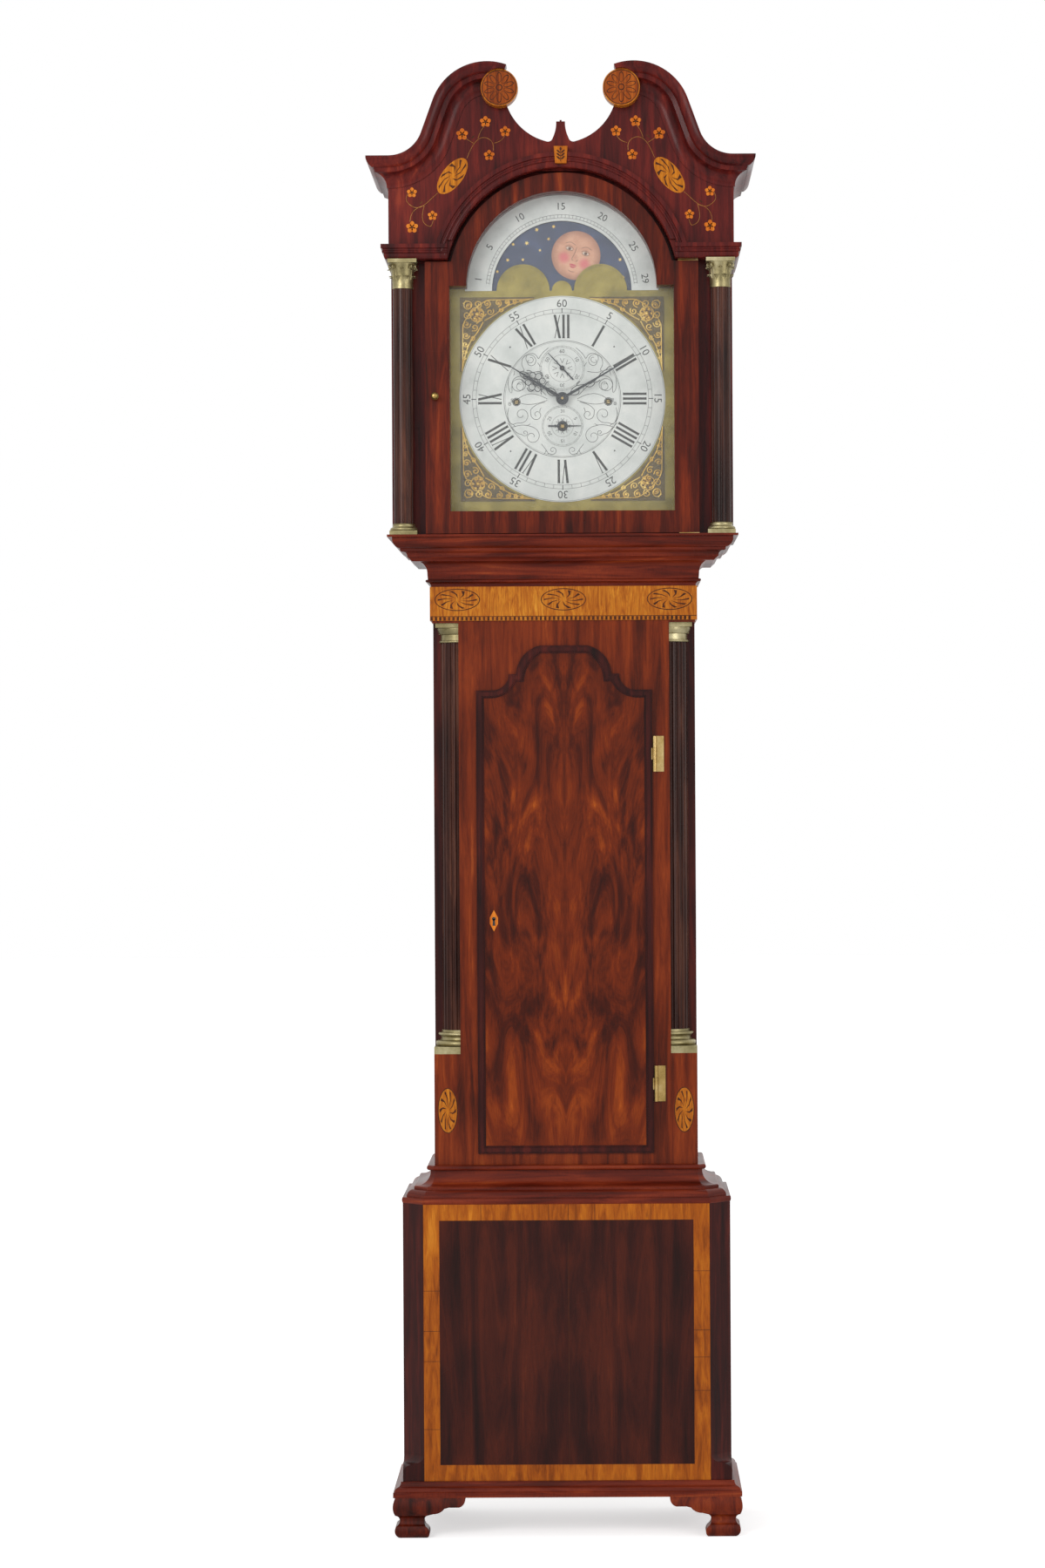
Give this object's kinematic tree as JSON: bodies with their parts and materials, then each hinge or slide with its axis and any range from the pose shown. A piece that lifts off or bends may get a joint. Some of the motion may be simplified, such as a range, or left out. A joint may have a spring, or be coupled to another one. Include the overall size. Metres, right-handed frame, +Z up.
{
  "type": "longcase clock",
  "caption": "Tall wooden clock case with a sliding swan-neck hood, glazed and shaped doors, brass moon dial, three weights and a seconds pendulum.",
  "frame": {"origin": "on the floor under the middle of the case", "axes": "+X to the right of the dial, +Y to the back, +Z up"},
  "size_m": [0.6164, 0.28, 2.3359],
  "materials": {
    "mahogany": "french polished",
    "oak": "plain",
    "satinwood": "french polished",
    "dark_mahogany": "polished, darkened",
    "brass": "lacquered",
    "silvered_brass": "silvered",
    "steel": "blued",
    "iron": "painted",
    "gut": "twisted gut",
    "painted_iron": "painted",
    "glass": "clear"
  },
  "bodies": {
    "case": {"backboard": "oak", "base_front_panel": "mahogany", "base_corners": "mahogany", "base_carcase": "mahogany", "foot_rail": "mahogany", "bracket_feet": "mahogany", "waist_rail": "mahogany", "trunk_sides": "mahogany", "trunk_front_frame": "mahogany", "trunk_corner_blocks": "mahogany", "trunk_columns": "dark_mahogany", "trunk_column_brasses": "brass", "trunk_frieze": "satinwood", "trunk_top_rail": "mahogany", "seat_board": "oak", "trunk_case_hinges": "brass", "dial_plate": "brass", "chapter_disc": "silvered_brass", "lunar_ring": "silvered_brass", "spandrels": "brass", "movement_frame": "brass", "strike_line": "gut", "going_line": "gut", "chime_line": "gut"},
    "hood": {"hood_base_rail": "mahogany", "hood_carcase": "mahogany", "hood_mask": "mahogany", "tympanum": "mahogany", "arch_rail": "mahogany", "keystone": "satinwood", "rosettes": "satinwood", "swan_necks": "mahogany", "hood_columns": "dark_mahogany", "hood_column_brasses": "brass"},
    "hood_door_leaf": {"hood_door": "mahogany", "hood_door_glass": "glass", "hood_door_knob": "brass", "hood_door_pivots": "brass"},
    "trunk_door_leaf": {"trunk_door": "mahogany", "trunk_door_edging": "mahogany", "trunk_door_brasses": "brass"},
    "bolt": {"lock_bolt": "steel"},
    "minute": {"minute_hand": "steel"},
    "hour": {"hour_hand": "steel"},
    "escape": {"escape_arbor": "brass", "seconds_hand": "steel"},
    "centre": {"centre_arbor": "brass"},
    "date": {"date_hand": "steel"},
    "moon": {"moon_disc": "painted_iron"},
    "pendulum_swinging": {"pendulum": "steel"},
    "anchor_rocking": {"anchor": "steel"},
    "strike_barrel_turning": {"strike_barrel": "brass"},
    "strike_weight_hanging": {"strike_weight": "iron"},
    "strike_pulley_turning": {"strike_pulley": "brass"},
    "going_barrel_turning": {"going_barrel": "brass"},
    "going_weight_hanging": {"going_weight": "iron"},
    "going_pulley_turning": {"going_pulley": "brass"},
    "chime_barrel_turning": {"chime_barrel": "brass"},
    "chime_weight_hanging": {"chime_weight": "iron"},
    "chime_pulley_turning": {"chime_pulley": "brass"}
  },
  "joints": [
    {"name": "hood_slide", "type": "slide", "parent": "case", "child": "hood", "axis": [0, -1, 0], "range_m": [0, 0.3]},
    {"name": "hood_door_hinge", "type": "hinge", "parent": "hood", "child": "hood_door_leaf", "pos_m": [0.2158, -0.0925, 1.8], "axis": [0, 0, 1], "range_deg": [0, 105]},
    {"name": "trunk_door_hinge", "type": "hinge", "parent": "case", "child": "trunk_door_leaf", "pos_m": [0.1446, -0.0534, 1], "axis": [0, 0, 1], "range_deg": [0, 110]},
    {"name": "lock_bolt_slide", "type": "slide", "parent": "trunk_door_leaf", "child": "bolt", "axis": [-1, 0, 0], "range_m": [0, 0.01]},
    {"name": "minute_hand_turn", "type": "hinge", "parent": "case", "child": "minute", "pos_m": [0, 0, 1.811], "axis": [0, 1, 0], "continuous": true},
    {"name": "hour_hand_turn", "type": "hinge", "parent": "case", "child": "hour", "pos_m": [0, 0, 1.811], "axis": [0, 1, 0], "continuous": true},
    {"name": "escape_turn", "type": "hinge", "parent": "case", "child": "escape", "pos_m": [0, 0, 1.8602], "axis": [0, 1, 0], "continuous": true},
    {"name": "centre_arbor_turn", "type": "hinge", "parent": "case", "child": "centre", "pos_m": [0, 0, 1.811], "axis": [0, 1, 0], "continuous": true},
    {"name": "date_hand_turn", "type": "hinge", "parent": "case", "child": "date", "pos_m": [0, 0, 1.7676], "axis": [0, 1, 0], "continuous": true},
    {"name": "moon_disc_turn", "type": "hinge", "parent": "case", "child": "moon", "pos_m": [0, 0, 1.9846], "axis": [0, 1, 0], "continuous": true},
    {"name": "pendulum_swing", "type": "hinge", "parent": "case", "child": "pendulum_swinging", "pos_m": [0, 0.078, 1.895], "axis": [0, 1, 0], "range_deg": [-2.5, 2.5]},
    {"name": "anchor_rock", "type": "hinge", "parent": "case", "child": "anchor_rocking", "pos_m": [0, 0.05, 1.895], "axis": [0, 1, 0], "range_deg": [-2.5, 2.5]},
    {"name": "strike_weight_fall", "type": "slide", "parent": "case", "child": "strike_weight_hanging", "axis": [0, 0, 1], "range_m": [-0.8, 0.36], "deforming": ["strike_line"]},
    {"name": "strike_barrel_turn", "type": "hinge", "parent": "case", "child": "strike_barrel_turning", "pos_m": [-0.0736, 0, 1.8065], "axis": [0, 1, 0], "range_deg": [-3956.43, 1783.14]},
    {"name": "strike_pulley_turn", "type": "hinge", "parent": "strike_weight_hanging", "child": "strike_pulley_turning", "pos_m": [-0.1128, 0.018, 1.3], "axis": [0, 1, 0], "range_deg": [-1294.16, 2869.79]},
    {"name": "going_weight_fall", "type": "slide", "parent": "case", "child": "going_weight_hanging", "axis": [0, 0, 1], "range_m": [-0.8, 0.36], "deforming": ["going_line"]},
    {"name": "going_barrel_turn", "type": "hinge", "parent": "case", "child": "going_barrel_turning", "pos_m": [0, 0, 1.7676], "axis": [0, 1, 0], "range_deg": [-3956.43, 1783.14]},
    {"name": "going_pulley_turn", "type": "hinge", "parent": "going_weight_hanging", "child": "going_pulley_turning", "pos_m": [-0.0072, 0.018, 1.3], "axis": [0, 1, 0], "range_deg": [-2869.79, 1294.16]},
    {"name": "chime_weight_fall", "type": "slide", "parent": "case", "child": "chime_weight_hanging", "axis": [0, 0, 1], "range_m": [-0.8, 0.36], "deforming": ["chime_line"]},
    {"name": "chime_barrel_turn", "type": "hinge", "parent": "case", "child": "chime_barrel_turning", "pos_m": [0.0736, 0, 1.8065], "axis": [0, 1, 0], "range_deg": [-1783.14, 3956.43]},
    {"name": "chime_pulley_turn", "type": "hinge", "parent": "chime_weight_hanging", "child": "chime_pulley_turning", "pos_m": [0.1128, 0.018, 1.3], "axis": [0, 1, 0], "range_deg": [-2869.79, 1294.16]}
  ],
  "couplings": [
    {"joint": "hour_hand_turn", "follows": "minute_hand_turn", "ratio": 0.083333},
    {"joint": "centre_arbor_turn", "follows": "escape_turn", "ratio": 0.016667},
    {"joint": "anchor_rock", "follows": "pendulum_swing", "ratio": 1},
    {"joint": "strike_barrel_turn", "follows": "strike_weight_fall", "rad_per_m": 86.207},
    {"joint": "strike_pulley_turn", "follows": "strike_weight_fall", "rad_per_m": -62.5},
    {"joint": "going_barrel_turn", "follows": "going_weight_fall", "rad_per_m": 86.207},
    {"joint": "going_pulley_turn", "follows": "going_weight_fall", "rad_per_m": 62.5},
    {"joint": "chime_barrel_turn", "follows": "chime_weight_fall", "rad_per_m": -86.207},
    {"joint": "chime_pulley_turn", "follows": "chime_weight_fall", "rad_per_m": 62.5}
  ]
}
